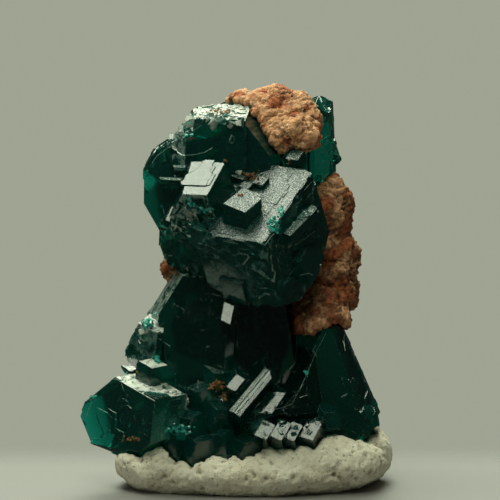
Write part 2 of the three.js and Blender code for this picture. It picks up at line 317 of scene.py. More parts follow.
LOWER_CRYSTALS = (
    FOOT_CRYSTAL,
    LEDGE_CRYSTAL,
    SLOPE_CRYSTAL,
    # the streaked crystal in the middle and those around it
    STREAK_CRYSTAL,
    like(STREAK_CRYSTAL, {
        "tip": (-1.2, -6.2, 8.3),
        "girth": (0.6, 0.6, 1.2, 1.5, 1.3, 1.0),
        "length": 5,
    }),
    *SLANTED_PLATES,
    like(STREAK_CRYSTAL, {
        "tip": (6.2, -5.6, 5.2),
        "spin": 40,
        "girth": (1.0, 1.2, 1.5, 1.4, 1.1, 1.2),
        "length": 6,
    }),
    like(FOOT_CRYSTAL, {
        "tip": (-4.0, -6.2, 8.23),
        "spin": 96,
        "girth": (1.2, 1.0, 1.6, 1.6, 1.2, 1.4),
        "length": 5,
    }),
    like(FOOT_CRYSTAL, {"tip": (-2.8, -5.4, 9.6), "spin": 74, "girth": 1.2, "length": 4}),
    like(FOOT_CRYSTAL, {
        "tip": (-4.8, -6.9, 6.2),
        "spin": 100,
        "girth": (1.4, 1.2, 1.6, 1.6, 1.6, 1.4),
        "length": 5,
    }),
    like(FOOT_CRYSTAL, {"tip": (-2.6, -6.7, 6.9), "spin": 70, "girth": 1.4, "length": 5}),
    like(FOOT_CRYSTAL, {
        "tip": (-5.9, -7.0, 4.9),
        "spin": 92,
        "girth": (1.0, 1.0, 1.4, 1.4, 0.9, 0.9),
        "length": 5,
    }),
    like(FOOT_CRYSTAL, {
        "tip": (-4.3, -7.3, 4.4),
        "spin": 78,
        "girth": (1.6, 1.4, 1.4, 1.4, 1.5, 1.7),
        "length": 5,
    }),
    like(FOOT_CRYSTAL, {
        "tip": (-2.2, -7.2, 4.9),
        "spin": 104,
        "girth": (0.9, 1.0, 1.4, 1.4, 1.0, 0.8),
        "length": 5,
    }),
    like(FOOT_CRYSTAL, {
        "tip": (-0.5, -7.3, 4.3),
        "spin": 88,
        "girth": (1.2, 1.5, 1.4, 1.4, 1.2, 1.0),
        "length": 5,
    }),
    # the far side of the cluster
    {
        "tip": (-7.4, 4.2, 8.6),
        "lean": (-125, 4),
        "spin": 70,
        "girth": (2.6, 3.0, 2.6, 2.4, 2.6, 2.8),
        "length": 8,
    },
    {
        "tip": (-1.2, 6.2, 7.0),
        "lean": (172, 8),
        "spin": 84,
        "girth": (3.0, 2.6, 2.8, 3.2, 2.8, 2.6),
        "length": 7,
    },
    {
        "tip": (4.6, 5.4, 8.2),
        "lean": (150, 14),
        "spin": 102,
        "girth": (2.6, 2.8, 2.4, 2.6, 2.2, 3.0),
        "length": 7,
    },
    {
        "tip": (-4.8, 4.6, 12.4),
        "lean": (-150, 20),
        "spin": 96,
        "girth": (1.8, 2.0, 2.2, 2.0, 1.8, 2.0),
        "length": 6,
    },
)

# The tall dark crystals under the head
TALL_CRYSTAL = {
    "centre": (-3.6, 0, 12),
    "faces": (
        (-12, 4, 4.0),
        (-86, 31, 4.4),
        (-80, -8, 3.9),
        (48, 0, 4.2),
        (176, 0, 2.6),
        (0, 90, 5.2),
        (0, -90, 9),
    ),
}
MIDDLE_CRYSTAL = {
    "centre": (1.5, 0, 11),
    "faces": (
        (14, 5, 3.0),
        (-60, 0, 4),
        (80, 10, 2.3),
        (180, 0, 4),
        (0, 80, 5.5),
        (0, -90, 8),
    ),
}
# The large crystal on the right
RIGHT_CRYSTAL = {
    "centre": (6.0, 1.0, 7),
    "faces": (
        (4, 12, 4.19),
        (-52, 28, 4.47),
        (58, 22, 4.02),
        (90, 23, 3.4),
        (80, -35, 4.4),
        (180, 10, 3),
        (-120, 10, 4),
        (0, 80, 6.2),
        (0, -90, 4.2),
    ),
}
# The narrow lit face below the head
LIT_CRYSTAL = {
    "centre": (-1.8, -5.0, 14.5),
    "faces": (
        (-15.5, 13, 0.42),
        (90, -12, 0.42),
        (-90, 12, 0.42),
        (90, 67, 0.72),
        (-90, -67, 0.72),
        (165, -13, 3),
    ),
}
# The dark one between the streaked and the large crystals
DARK_CRYSTAL = {
    "centre": (3.4, -4.2, 7.2),
    "faces": (
        (4, 16, 2.5),
        (-60, 45, 1.3),
        (72, 12, 1.9),
        (0, 75, 3.2),
        (5, -50, 2.2),
        (180, 0, 4),
        (-80, -30, 2.5),
    ),
}
# The rounded one at the bottom right
CORNER_CRYSTAL = {
    "centre": (8.3, -1.0, 5.2),
    "faces": (
        (40, 0, 2.1),
        (-20, 5, 2.0),
        (95, 10, 1.95),
        (60, 50, 2.0),
        (-10, 60, 1.9),
        (70, -45, 1.8),
        (10, -50, 2.1),
        (150, 0, 2.2),
        (-100, 0, 2.5),
        (180, 50, 2.4),
        (180, -50, 2.4),
    ),
}
# The body that the small crystals stand on
FOOT_BODY = {
    "centre": (-1, -2.5, 5.5),
    "faces": (
        (-10, -12, 3.0),
        (-70, -30, 4.6),
        (60, -15, 4.6),
        (-10, 40, 3.2),
        (180, 0, 4),
        (0, 80, 3),
        (0, -90, 2.9),
    ),
}
LOWER_BLOCKS = (
    TALL_CRYSTAL,
    MIDDLE_CRYSTAL,
    RIGHT_CRYSTAL,
    LIT_CRYSTAL,
    DARK_CRYSTAL,
    CORNER_CRYSTAL,
    FOOT_BODY,
)

# The bright edge on the left of the head, a block as above
BRIGHT_EDGE = {
    "centre": (-6.35, -3.9, 22.3),
    "faces": (
        (-15.5, 13, 0.25),
        (90, -25, 0.17),
        (-90, 25, 0.17),
        (90, 65, 0.6),
        (-90, -65, 0.6),
        (165, -13, 2),
    ),
}

# Frosted faces: (crystal, the way that they face, how frosted)
FROSTED = [
    (KNOB, (0, 83), 0.6),
    (KNOB, (-85, 50), 0.6),
    (TALL_CRYSTAL, (-86, 31), 0.3),
    (SLOPE_CRYSTAL, (-20, 70), 0.5),
    (LEDGE_CRYSTAL, (-20, 70), 0.8),
    (FOOT_CRYSTAL, (5, 75), 0.8),
    (FOOT_CRYSTAL, (60, -10), 0.12),
]
# Crystals whose colour is darkened as painted shade, for the shade under and below the head, and
# how dark
SHADE_PAINTED_CRYSTALS = [
    (TALL_CRYSTAL, 0.55),
    (MIDDLE_CRYSTAL, 0.75),
    (DARK_CRYSTAL, 0.85),
    (RIGHT_CRYSTAL, 0.6),
    (STREAK_CRYSTAL, 0.6),
    (FOOT_BODY, 0.5),
    (CHIN_CRYSTAL, 0.1),
    *((plate, 0.6) for plate in SLANTED_PLATES),
]

# Growth plates are uneven by these shares of their half width, and their tips lie this share of
# it up the face from their middles
PLATE_UNEVEN = (0.6, 1.4)
PLATE_TIP = 0.9
# Thin growth plates on the end faces of the large crystals: (host, end face, how many, smallest
# and largest half width, thinnest and thickest)
GROWTH_PLATES = [
    (FRONT_CRYSTAL, 0, 14, (0.3, 1.5), (0.02, 0.07)),
    (FRONT_CRYSTAL, 1, 12, (0.4, 1.6), (0.02, 0.08)),
    (FRONT_CRYSTAL, 2, 16, (0.3, 1.3), (0.03, 0.15)),
    (BRIGHT_CRYSTAL, 0, 5, (0.8, 1.6), (0.05, 0.1)),
    (BRIGHT_CRYSTAL, 1, 6, (0.3, 0.8), (0.03, 0.1)),
    (CHIN_CRYSTAL, 1, 10, (0.3, 1.2), (0.05, 0.25)),
    (CHIN_CRYSTAL, 2, 10, (0.3, 1.0), (0.05, 0.25)),
    (FOOT_CRYSTAL, 1, 6, (0.5, 1.2), (0.02, 0.1)),
    (FOOT_CRYSTAL, 2, 5, (0.5, 1.4), (0.02, 0.06)),
]

# The streaked face is made of thin parallel laths: how many, the step between them, how many of
# them lie past the tip, the highest that one stands proud, how deep they reach into the crystal,
# and how uneven their tilt is
LATHS = {"count": 36, "step": 0.13, "past_tip": 18, "proud": 0.05, "depth": 0.5, "tilt": 0.12}

# Lines below are drawn on the specimen as it is seen from the front: points (x, height in view)
# from the tables' origin. A line is a thin rim of broken crystal, its pale colour a painted
# highlight: (half width, points)
HIGHLIGHT_RIMS = [
    (0.05, ((-6.2, 27.9), (-5.35, 27.3), (-4.4, 27.35), (-3.6, 27.55), (-3.0, 27.9))),
    (0.09, ((-6.0, 27.9), (-5.7, 27.5), (-5.4, 27.3))),
    (0.07, ((-7.8, 27.4), (-7.1, 28.15), (-6.4, 28.55), (-5.7, 28.85), (-4.8, 29.35))),
    (0.05, ((-8.0, 26.5), (-7.5, 27.25), (-6.6, 27.9), (-6.2, 28.05))),
    (0.05, ((-6.3, 21.8), (-5.9, 21.65), (-5.5, 21.4))),
    (0.06, ((-5.2, 21.05), (-4.75, 20.85))),
    (0.04, ((-6.55, 19.3), (-6.2, 19.3))),
    (0.04, ((-4.1, 20.3), (-3.3, 20.1), (-2.7, 19.8))),
    (0.03, ((-3.7, 19.55), (-3.1, 19.75))),
    (0.05, ((4.3, 24.5), (4.9, 25.15))),
    (0.04, ((4.1, 22.9), (4.6, 23.0), (4.8, 23.35))),
    (0.04, ((3.45, 20.05), (4.5, 20.75), (5.2, 21.25))),
    (0.05, ((4.0, 17.75), (4.7, 17.9), (5.0, 17.75))),
    (0.05, ((5.6, 18.55), (6.1, 18.95), (6.6, 19.25))),
    (0.05, ((5.6, 26.15), (6.2, 25.35), (6.8, 23.95), (7.0, 22.55))),
    (0.08, ((0.4, 20.45), (1.2, 20.15), (1.6, 20.75), (1.9, 21.05))),
    (0.03, ((-2.1, 20.45), (-0.95, 20.25))),
    (0.025, ((3.3, 7.4), (4.5, 9.75), (5.3, 11.6), (6.1, 13.1))),
    (0.04, ((1.75, 7.0), (2.6, 7.2), (3.3, 7.5))),
    (0.05, ((-4.15, 9.35), (-4.15, 8.7))),
    (0.06, ((-7.3, 12.7), (-6.4, 12.05))),
    (0.05, ((-11.5, 9.9), (-12.3, 8.6), (-13.2, 6.3))),
]

# Grains scattered on the surface: (x, height in view, spread across, spread up, how many)
RUST_GRAINS = [
    (0.24, 25.68, 0.7, 0.45, 34),
    (-1.9, 26.9, 0.2, 0.1, 7),
    (-5.0, 28.75, 0.4, 0.12, 14),
    (-2.2, 30.8, 1.0, 0.25, 34),
    (-2.56, 8.96, 0.5, 0.35, 70),
    (-2.0, 8.0, 0.25, 0.4, 24),
    (-9.4, 4.7, 0.6, 0.2, 20),
    (-10.4, 9.9, 0.8, 0.18, 24),
    (-0.72, 24.1, 0.2, 0.06, 6),
    (3.1, 26.8, 0.15, 0.1, 5),
]
SMALL_CRYSTALS = [
    (1.84, 21.6, 0.32, 0.5, 80),
    (2.5, 22.8, 0.15, 0.3, 18),
    (-5.5, 5.5, 0.9, 0.28, 44),
    (-8.2, 13.9, 0.5, 0.35, 34),
    (-7.4, 11.0, 0.2, 0.35, 20),
    (-12.5, 7.9, 0.25, 0.25, 12),
    (4.55, 9.9, 0.1, 0.2, 7),
    (-3.9, 22.9, 0.9, 0.15, 8),
    (-4.7, 23.4, 0.4, 0.35, 12),
    (-5.0, 28.9, 0.6, 0.25, 14),
]
GRAIN_SIZES = (0.04, 0.11)
SMALL_CRYSTAL_SIZES = (0.05, 0.15)

# Broken chunks grown onto the large crystals: (x, y, z, size), and their frost and painted shade
FROSTED_FINISH = (0.7, 0)
DARK_FINISH = (0.1, 0.4)
FROSTED_CHUNKS = [
    (-5.2, 0.2, 28.5, 0.55),
    (-5.6, -0.2, 28.1, 0.5),
    (-4.8, -0.2, 28.6, 0.5),
    (-6.0, -0.4, 27.8, 0.4),
    (-4.3, -0.3, 28.9, 0.5),
    (-6.3, -0.6, 27.3, 0.35),
    (-5.0, -0.9, 28.0, 0.35),
    (-4.5, 0.6, 29.3, 0.5),
    (-3.6, -0.5, 29.0, 0.4),
    (-4.6, -1.2, 29.3, 0.5),
    (-4.1, -1.8, 29.4, 0.45),
    (-3.5, -2.0, 29.5, 0.4),
    (-2.9, -2.2, 29.35, 0.45),
    (-2.2, -2.2, 29.5, 0.4),
    (-1.5, -2.3, 29.4, 0.45),
    (-0.8, -2.4, 29.45, 0.4),
    (-4.9, -1.0, 28.7, 0.45),
    (-4.4, -1.7, 28.8, 0.35),
    (-3.2, -1.2, 29.8, 0.3),
    (-2.0, -1.4, 29.8, 0.3),
    (-8.3, -3.3, 13.15, 0.5),
    (-8.45, -3.3, 12.75, 0.45),
    (-7.45, -2.9, 13.9, 0.4),
    (-8.4, -3.3, 12.2, 0.4),
]
DARK_CHUNKS = [
    (-4.2, -5.9, 21.2, 0.75),
    (-3.8, -6.3, 20.9, 0.7),
    (-3.4, -6.6, 20.8, 0.6),
    (-3.0, -6.9, 20.7, 0.5),
    (-3.5, -6.0, 21.4, 0.55),
    (-3.0, -6.5, 21.1, 0.4),
    (-4.2, -5.5, 21.5, 0.6),
    (-2.6, -7.1, 20.7, 0.35),
]

# Broken skin never stands further than this out of the faces that it covers, and lies this far
# below the crystal's other faces
CHIP_PROUD = 0.1
CHIP_SINK = 0.03
# A face is broken if the cosine between it and the way given is above the first of these, and its
# chips may stand out of any face above the second
BROKEN_WAY = 0.4
PROUD_WAY = 0.3
# A chip's form: how many sides it has and, as shares of its half width, how far its top stands
# out, how deep it reaches and how far its sides stand from its middle
CHIP_SIDES = 5
CHIP_RISE = 0.03
CHIP_DEPTH = 0.7
CHIP_REACH = (0.4, 1)
# Broken skin, as small tilted chips: (host, the way that its broken faces face, how many, smallest
# and largest half width, tilt, frost)
BROKEN_SKIN = [
    (FRONT_CRYSTAL, (60, -5), 160, (0.15, 0.9), 0.4, 0.15),
    (FRONT_CRYSTAL, (10, -40), 150, (0.15, 0.9), 0.45, 0.15),
    (RIGHT_LEDGE, (-8, 58), 30, (0.15, 0.5), 0.3, 0.2),
    (CHIN_CRYSTAL, (-30, -20), 160, (0.12, 0.7), 0.5, 0.2),
    (BRIGHT_CRYSTAL, (-10, -40), 80, (0.1, 0.45), 0.4, 0.3),
    (BACK_CRYSTAL, (-85, 20), 26, (0.25, 0.9), 0.12, 0.0),
    (BACK_CRYSTAL, (180, 20), 60, (0.3, 1.2), 0.2, 0.05),
    (KNOB, (-20, 75), 60, (0.15, 0.6), 0.5, 0.5),
    (KNOB, (-70, 30), 50, (0.15, 0.5), 0.4, 0.4),
    (TALL_CRYSTAL, (-86, 31), 80, (0.2, 0.8), 0.2, 0.15),
    (TALL_CRYSTAL, (-12, 4), 12, (0.3, 1.0), 0.04, 0.0),
    (MIDDLE_CRYSTAL, (14, 5), 12, (0.3, 1.0), 0.04, 0.0),
    (RIGHT_CRYSTAL, (10, 12), 12, (0.4, 1.4), 0.05, 0.0),
    (RIGHT_CRYSTAL, (75, 10), 24, (0.3, 1.0), 0.15, 0.0),
    (DARK_CRYSTAL, (4, 16), 24, (0.2, 0.8), 0.1, 0.0),
    (CORNER_CRYSTAL, (20, 10), 30, (0.2, 0.7), 0.15, 0.0),
    *((plate, (-5, 35), 14, (0.12, 0.4), 0.14, 0.1) for plate in SLANTED_PLATES),
    (FOOT_CRYSTAL, (-45, -10), 24, (0.2, 0.7), 0.15, 0.0),
    (FOOT_CRYSTAL, (5, 75), 50, (0.2, 0.6), 0.08, 0.8),
    (SLOPE_CRYSTAL, (-60, 20), 40, (0.15, 0.6), 0.15, 0.15),
    (FOOT_BODY, (-10, -12), 50, (0.2, 0.7), 0.4, 0.0),
    (REAR_TOP, (60, 10), 30, (0.2, 0.6), 0.25, 0.05),
    (REAR_SIDE, (60, 0), 30, (0.2, 0.6), 0.25, 0.05),
]


# The solids
# A face counts as facing a way if the cosine between them is above this
THIS_WAY = 0.8
# Millimetres that rounding may put a corner off its plane
ROUNDING = 1e-4
# A face of the joined mesh lies on a plane if they agree this closely in cosine and millimetres
SAME_WAY = 0.9995
SAME_PLACE = 0.01
# Etching weaker than this isn't marked
LEAST_ETCHING = 0.06


def aim(turn, rise):
    """Unit vector turned right of the viewer and raised above level, both in degrees."""
    t, r = math.radians(turn), math.radians(rise)
    return np.array((math.sin(t) * math.cos(r), -math.cos(t) * math.cos(r), math.sin(r)))


def crystal_axes(crystal):
    """A crystal's long axis, and the direction at any angle about it."""
    axis = aim(*crystal["lean"])
    up = np.array((0, 0, 1)) - axis * axis[2]
    up /= np.linalg.norm(up)
    right = np.cross(up, axis)

    def around(degrees):
        a = math.radians(degrees)
        return right * math.cos(a) + up * math.sin(a)

    return axis, around


def end_normal(crystal, k):
    """The way that one of a crystal's three end faces faces."""
    axis, around = crystal_axes(crystal)
    side = around(crystal["spin"] + 120 * k)
    return side * math.sin(TIP_SLOPE) + axis * math.cos(TIP_SLOPE)


def crystal_planes(crystal):
    """Rows (normal, distance, etching, frost, painted shade) of a crystal's faces."""
    axis, around = crystal_axes(crystal)
    tip = np.array(crystal["tip"])
    etched = crystal.get("etched", PLAIN_ENDS)
    rows = []
    for k in range(3):
        normal = end_normal(crystal, k)
        rows.append((*normal, normal @ tip, etched[k], 0, 0))
    girth = crystal["girth"]
    reaches = girth if isinstance(girth, tuple) else (girth,) * 6
    sides = [(crystal["spin"] + 30 + 60 * k, reach) for k, reach in enumerate(reaches)]
    for angle, reach in [*sides, *crystal.get("cuts", ())]:
        normal = around(angle)
        rows.append((*normal, normal @ tip + reach, SIDE_ETCHING, 0, 0))
    rows.append((*-axis, -axis @ tip + crystal["length"], 0, 0, 0))
    return np.array(rows)


def block_planes(block):
    """The same rows for a block."""
    rows = []
    for turn, rise, distance in block["faces"]:
        normal = aim(turn, rise)
        reach = normal @ np.array(block["centre"]) + distance
        rows.append((*normal, reach, BLOCK_ETCHING, 0, 0))
    return np.array(rows)


def planes_of(host):
    """The planes of a crystal or a block, with frost and painted shade where they are listed."""
    planes = crystal_planes(host) if "tip" in host else block_planes(host)
    for crystal, way, frost in FROSTED:
        if crystal is host:
            planes[planes[:, :3] @ aim(*way) > THIS_WAY, 5] = frost
    for crystal, painted_shade in SHADE_PAINTED_CRYSTALS:
        if crystal is host:
            planes[:, 6] = painted_shade
    return planes


def corners_inside(planes):
    """The corners of what lies inside all the planes."""
    normals, reach = planes[:, :3], planes[:, 3]
    trios = np.array(list(itertools.combinations(range(len(planes)), 3)))
    trios = trios[abs(np.linalg.det(normals[trios])) > 1e-5]
    points = np.linalg.solve(normals[trios], reach[trios][..., None])[..., 0]
    points = points[(points @ normals.T <= reach + 1e-6).all(1)]
    return np.unique(points.round(5), axis=0)


def solid_inside(planes):
    """Corners and faces of the convex solid inside all the planes."""
    points = corners_inside(planes)
    faces = []
    for row in planes:
        normal = row[:3]
        on = np.flatnonzero(abs(points @ normal - row[3]) < ROUNDING)
        if len(on) < 3:
            continue
        arm = points[on] - points[on].mean(0)
        along = arm[0] / np.linalg.norm(arm[0])
        across = np.cross(normal, along)
        faces.append(on[np.argsort(np.arctan2(arm @ across, arm @ along))].tolist())
    return points, faces


def is_closed(planes):
    """Whether the solid inside the planes is large enough to have every one of its edges."""
    faces = solid_inside(planes)[1]
    edges = {pair for face in faces for pair in zip(face, face[1:] + face[:1])}
    corners = sum(map(len, faces))
    return len(faces) > 3 and len(edges) == corners and edges == {(b, a) for a, b in edges}


def growth_plates(host, k, count, widths, heights, rng):
    """Small crystals parallel to a host, a little proud of its end face k."""
    planes = crystal_planes(host)
    normal = planes[k, :3]
    points = corners_inside(planes)
    rim = points[abs(points @ normal - planes[k, 3]) < ROUNDING]
    axis, around = crystal_axes(host)
    slope = around(host["spin"] + 120 * k) * math.cos(TIP_SLOPE) - axis * math.sin(TIP_SLOPE)
    plates = []
    for _ in range(count):
        share = rng.dirichlet(np.ones(len(rim)))
        girth = rng.uniform(*widths)
        tip = share @ rim + normal * rng.uniform(*heights) - slope * PLATE_TIP * girth
        reaches = tuple(girth * rng.uniform(*PLATE_UNEVEN, 6))
        plates.append(like(host, {"tip": tuple(tip), "girth": reaches, "length": girth}))
    return [plate for plate in plates if is_closed(crystal_planes(plate))]


def broken_chips(host, way, count, widths, tilt, frost, rng):
    """Small tilted blocks, a little proud of the faces of a crystal that face this way."""
    planes = planes_of(host)
    points, faces = solid_inside(planes)
    fans = [(face[0], *pair) for face in faces for pair in zip(face[1:], face[2:])]
    corners = points[np.array(fans)]
    crosses = np.cross(corners[:, 1] - corners[:, 0], corners[:, 2] - corners[:, 0])
    areas = np.linalg.norm(crosses, axis=1)
    normals = crosses / areas[:, None]
    weights = areas * (normals @ aim(*way) - BROKEN_WAY).clip(0)
    shell = planes.copy()
    facing = planes[:, :3] @ aim(*way)
    shell[:, 3] += np.where(facing > PROUD_WAY, CHIP_PROUD, -CHIP_SINK)
    chips = []
    for pick in rng.choice(len(fans), count, p=weights / weights.sum()):
        point = rng.dirichlet((1, 1, 1)) @ corners[pick]
        normal = normals[pick] + rng.normal(0, tilt, 3)
        normal /= np.linalg.norm(normal)
        along = np.cross(normal, corners[pick, 1] - corners[pick, 0])
        along /= np.linalg.norm(along)
        across = np.cross(normal, along)
        width = rng.uniform(*widths)
        # the chips keep their host's painted shade
        ends = (SIDE_ETCHING, frost * rng.uniform(0.2, 1.8), planes[0, 6])
        top = normal @ point + CHIP_RISE * width
        rows = [(*normal, top, 0.2 * rng.random(), *ends[1:])]
        for k in range(CHIP_SIDES):
            turn = math.tau * (k + rng.uniform(-0.3, 0.3)) / CHIP_SIDES
            side = along * math.cos(turn) + across * math.sin(turn) + normal * rng.uniform(0.1, 1)
            side /= np.linalg.norm(side)
            rows.append((*side, side @ point + width * rng.uniform(*CHIP_REACH), *ends))
        rows.append((*-normal, -normal @ point + CHIP_DEPTH * width, *ends))
        chips.append(np.concatenate([rows, shell]))
    return [chip for chip in chips if is_closed(chip)]


def chunk(place, finish, rng):
    """The planes of a chunk of broken crystal: a turned box with its corners cut."""
    *centre, size = place
    frost, painted_shade = finish
    turn = np.array(Quaternion(rng.normal(0, 1, 4)).normalized().to_matrix())
    cuts = rng.normal(0, 1, (5, 3))
    cuts /= np.linalg.norm(cuts, axis=1)[:, None]
    rows = []
    for normal in (*turn, *-turn, *cuts):
        reach = normal @ centre + size * rng.uniform(0.6, 1)
        rows.append((*normal, reach, BLOCK_ETCHING, frost * rng.random(), painted_shade))
    return np.array(rows)


def laths(host, rng):
    """Thin strips side by side, which make up end face 0 of their host."""
    planes = planes_of(host)
    face = planes[0, :3]
    across = planes[3, :3] - face * (planes[3, :3] @ face)
    across /= np.linalg.norm(across)
    shell = planes.copy()
    shell[0, 3] += CHIP_PROUD
    shell[1:, 3] -= CHIP_SINK
    tip = np.array(host["tip"])
    strips = []
    for k in range(LATHS["count"]):
        middle = tip + across * LATHS["step"] * (k - LATHS["past_tip"])
        top = face + across * rng.normal(0, LATHS["tilt"])
        top /= np.linalg.norm(top)
        half = LATHS["step"] * rng.uniform(0.4, 0.65)
        rows = [
            (*top, top @ middle + LATHS["proud"] * rng.random(), rng.uniform(0, 0.4), 0, 0),
            (*across, across @ middle + half, BLOCK_ETCHING, 0, 0),
            (*-across, -across @ middle + half, BLOCK_ETCHING, 0, 0),
            (*-face, -face @ middle + LATHS["depth"], 0, 0, 0),
        ]
        strips.append(np.concatenate([rows, shell]))
    return [strip for strip in strips if is_closed(strip)]


def make_piece(name, points, faces):
    """A piece from its points and faces, not yet in the scene."""
    mesh = bpy.data.meshes.new(name)
    mesh.from_pydata([tuple(p) for p in points], [], faces)
    mesh.validate()
    return bpy.data.objects.new(name, mesh)


def show(piece):
    bpy.context.scene.collection.objects.link(piece)
    return piece


def applied(piece):
    """The piece with its modifiers worked into its mesh."""
    depsgraph = bpy.context.evaluated_depsgraph_get()
    mesh = bpy.data.meshes.new_from_object(piece.evaluated_get(depsgraph))
    piece.modifiers.clear()
    piece.data = mesh
    return piece


def grown_together(name, solids, shift):
    """One closed piece from many overlapping convex solids, in metres."""
    parts = bpy.data.collections.new("parts")
    bpy.context.scene.collection.children.link(parts)
    pieces = [
        make_piece("part", (points + shift) * MM, faces)
        for points, faces in map(solid_inside, solids)
    ]
    whole = show(pieces[0])
    whole.name = name
    for part in pieces[1:]:
        parts.objects.link(part)
    join = whole.modifiers.new("join", "BOOLEAN")
    join.operation = "UNION"
    join.operand_type = "COLLECTION"
    join.collection = parts
    join.solver = "MANIFOLD"
    applied(whole)
    whole.data.name = name
    for part in pieces[1:]:
        bpy.data.objects.remove(part)
    bpy.data.collections.remove(parts)
    return whole


def mark_faces(piece, solids, shift):
    """Gives every face the etching, frost and painted shade of the plane that it lies on."""
    planes = np.concatenate(solids)
    planes = planes[(planes[:, 4] > LEAST_ETCHING) | (planes[:, 5:] > 0).any(1)]
    polygons = piece.data.polygons
    centres = np.zeros(len(polygons) * 3)
    normals = np.zeros(len(polygons) * 3)
    polygons.foreach_get("center", centres)
    polygons.foreach_get("normal", normals)
    centres = centres.reshape(-1, 3) / MM - shift
    normals = normals.reshape(-1, 3)
    facing = normals @ planes[:, :3].T > SAME_WAY
    near = abs(centres @ planes[:, :3].T - planes[:, 3]) < SAME_PLACE
    for name, column in (("etching", 4), ("frost", 5), ("painted_shade", 6)):
        values = np.where(facing & near, planes[:, column], 0).max(1)
        layer = piece.data.attributes.new(name, "FLOAT", "FACE")
        layer.data.foreach_set("value", values.astype(np.float32))


# Materials
REFRACTION = 1.66


class Wire:
    """One output of a node, or of the sum that arithmetic on it makes."""

    def __init__(self, bench, socket):
        self.bench = bench
        self.socket = socket

    def _maths(self, operation, *values):
        return self.bench.node(
            "ShaderNodeMath", {"operation": operation}, dict(enumerate(values))
        )

    def __add__(self, other):
        return self._maths("ADD", self, other)

    __radd__ = __add__

    def __sub__(self, other):
        return self._maths("SUBTRACT", self, other)

    def __rsub__(self, other):
        return self._maths("SUBTRACT", other, self)

    def __mul__(self, other):
        return self._maths("MULTIPLY", self, other)

    __rmul__ = __mul__

    def larger(self, other):
        return self._maths("MAXIMUM", self, other)

    def between(self, low, high):
        """0 at low and 1 at high, with a soft change between them."""
        return self.bench.node(
            "ShaderNodeMapRange",
            {"interpolation_type": "SMOOTHSTEP"},
            {"Value": self, "From Min": low, "From Max": high},
        )


class Bench:
    """The nodes of one material or world."""

    def __init__(self, tree, output="ShaderNodeOutputMaterial"):
        self.tree = tree
        self.output = output
        tree.nodes.clear()

    def node(self, kind, settings=None, sockets=None, out=0):
        """Adds a node with its settings and sockets, and gives one of its outputs, if any."""
        made = self.tree.nodes.new(kind)
        for key, value in (settings or {}).items():
            setattr(made, key, value)
        for key, value in (sockets or {}).items():
            if isinstance(value, Wire):
                self.tree.links.new(value.socket, made.inputs[key])
            else:
                made.inputs[key].default_value = value
        return Wire(self, made.outputs[out]) if made.outputs else None

    def place(self):
        """Points of the piece in metres."""
        return self.node("ShaderNodeTexCoord", out="Object")

    def attribute(self, name):
        """A value kept on the mesh."""
        return self.node("ShaderNodeAttribute", {"attribute_name": name}, out="Fac")

    def clouds(self, size, detail=2, rough=0.5):
        """Soft noise with lumps of about this size in metres."""
        sockets = {"Vector": self.place(), "Scale": 1 / size, "Detail": detail}
        return self.node("ShaderNodeTexNoise", {}, {**sockets, "Roughness": rough})

    def grains(self, size):
        """The distance to the middle of the nearest grain, for grains of this size in metres."""
        sockets = {"Vector": self.place(), "Scale": 1 / size}
        return self.node("ShaderNodeTexVoronoi", {}, sockets, out="Distance")

    def mix(self, share, first, second):
        """A colour between two."""
        return self.node(
            "ShaderNodeMix", {"data_type": "RGBA"}, {0: share, 6: first, 7: second}, out=2
        )

    def turned_from_face(self, normal):
        """0 where a bent normal still agrees with the face's own, and more where it doesn't."""
        face = self.node("ShaderNodeNewGeometry", out="True Normal")
        same = self.node(
            "ShaderNodeVectorMath", {"operation": "DOT_PRODUCT"}, {0: normal, 1: face}, out="Value"
        )
        return 1 - same

    def bump(self, height, distance, strength=1.0, under=None):
        """The normal that a height gives the surface, on top of a normal under it."""
        sockets = {"Height": height, "Distance": distance, "Strength": strength}
        if under:
            sockets["Normal"] = under
        return self.node("ShaderNodeBump", {}, sockets)

    def surface(self, colour, roughness, more=None):
        """An opaque or clear surface, with any further sockets by name."""
        sockets = {"Base Color": colour, "Roughness": roughness, **(more or {})}
        return self.node("ShaderNodeBsdfPrincipled", {}, sockets)

    def finish(self, surface, **volume):
        """Ends the material or world with its surface, and its inside as Volume=wire."""
        self.node(self.output, {}, {"Surface": surface, **volume})


def new_material(name):
    """An empty material and the bench for its nodes."""
    material = bpy.data.materials.new(name)
    material.use_nodes = True
    return material, Bench(material.node_tree)


